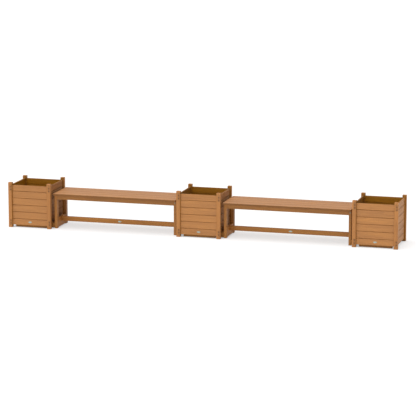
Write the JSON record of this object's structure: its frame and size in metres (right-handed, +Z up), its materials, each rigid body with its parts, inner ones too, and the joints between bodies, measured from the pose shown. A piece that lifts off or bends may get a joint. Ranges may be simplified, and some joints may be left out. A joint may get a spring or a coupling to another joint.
{
  "type": "bench with planters",
  "caption": "Timber street furniture in a straight row: square planters walled with boards on corner posts, with backless slatted benches standing between them.",
  "frame": {"origin": "on the ground, under the middle of the row", "axes": "+X along the row of planters and benches, -Y to the front, +Z up"},
  "size_m": [4.616, 0.52, 0.53],
  "materials": {
    "post_wood": "oiled hardwood, satin",
    "wall_wood": "oiled hardwood, satin",
    "floor_wood": "oiled hardwood, satin",
    "seat_wood": "oiled hardwood, satin",
    "frame_wood": "oiled hardwood, satin",
    "fastener_steel": "stainless screws and bolts, dulled by the weather",
    "plate_metal": "satin blank plate"
  },
  "bodies": {
    "root": {"bench_left_end_apron_left": "frame_wood", "bench_left_end_apron_right": "frame_wood", "bench_left_end_rail_left": "frame_wood", "bench_left_end_rail_right": "frame_wood", "bench_left_front_apron": "frame_wood", "bench_left_leg_front_left": "frame_wood", "bench_left_leg_front_right": "frame_wood", "bench_left_leg_rear_left": "frame_wood", "bench_left_leg_rear_right": "frame_wood", "bench_left_rear_apron": "frame_wood", "bench_left_seat_batten": "frame_wood", "bench_left_seat_plank_1": "seat_wood", "bench_left_seat_plank_2": "seat_wood", "bench_left_seat_plank_3": "seat_wood", "bench_left_seat_plank_4": "seat_wood", "bench_left_stretcher": "frame_wood", "bench_right_end_apron_left": "frame_wood", "bench_right_end_apron_right": "frame_wood", "bench_right_end_rail_left": "frame_wood", "bench_right_end_rail_right": "frame_wood", "bench_right_front_apron": "frame_wood", "bench_right_leg_front_left": "frame_wood", "bench_right_leg_front_right": "frame_wood", "bench_right_leg_rear_left": "frame_wood", "bench_right_leg_rear_right": "frame_wood", "bench_right_rear_apron": "frame_wood", "bench_right_seat_batten": "frame_wood", "bench_right_seat_plank_1": "seat_wood", "bench_right_seat_plank_2": "seat_wood", "bench_right_seat_plank_3": "seat_wood", "bench_right_seat_plank_4": "seat_wood", "bench_right_stretcher": "frame_wood", "planter_left_floor": "floor_wood", "planter_left_front_boards": "wall_wood", "planter_left_left_boards": "wall_wood", "planter_left_post_front_left": "post_wood", "planter_left_post_front_right": "post_wood", "planter_left_post_rear_left": "post_wood", "planter_left_post_rear_right": "post_wood", "planter_left_rear_boards": "wall_wood", "planter_left_right_boards": "wall_wood", "planter_middle_floor": "floor_wood", "planter_middle_front_boards": "wall_wood", "planter_middle_left_boards": "wall_wood", "planter_middle_post_front_left": "post_wood", "planter_middle_post_front_right": "post_wood", "planter_middle_post_rear_left": "post_wood", "planter_middle_post_rear_right": "post_wood", "planter_middle_rear_boards": "wall_wood", "planter_middle_right_boards": "wall_wood", "planter_right_floor": "floor_wood", "planter_right_front_boards": "wall_wood", "planter_right_left_boards": "wall_wood", "planter_right_post_front_left": "post_wood", "planter_right_post_front_right": "post_wood", "planter_right_post_rear_left": "post_wood", "planter_right_post_rear_right": "post_wood", "planter_right_rear_boards": "wall_wood", "planter_right_right_boards": "wall_wood"}
  },
  "joints": []
}
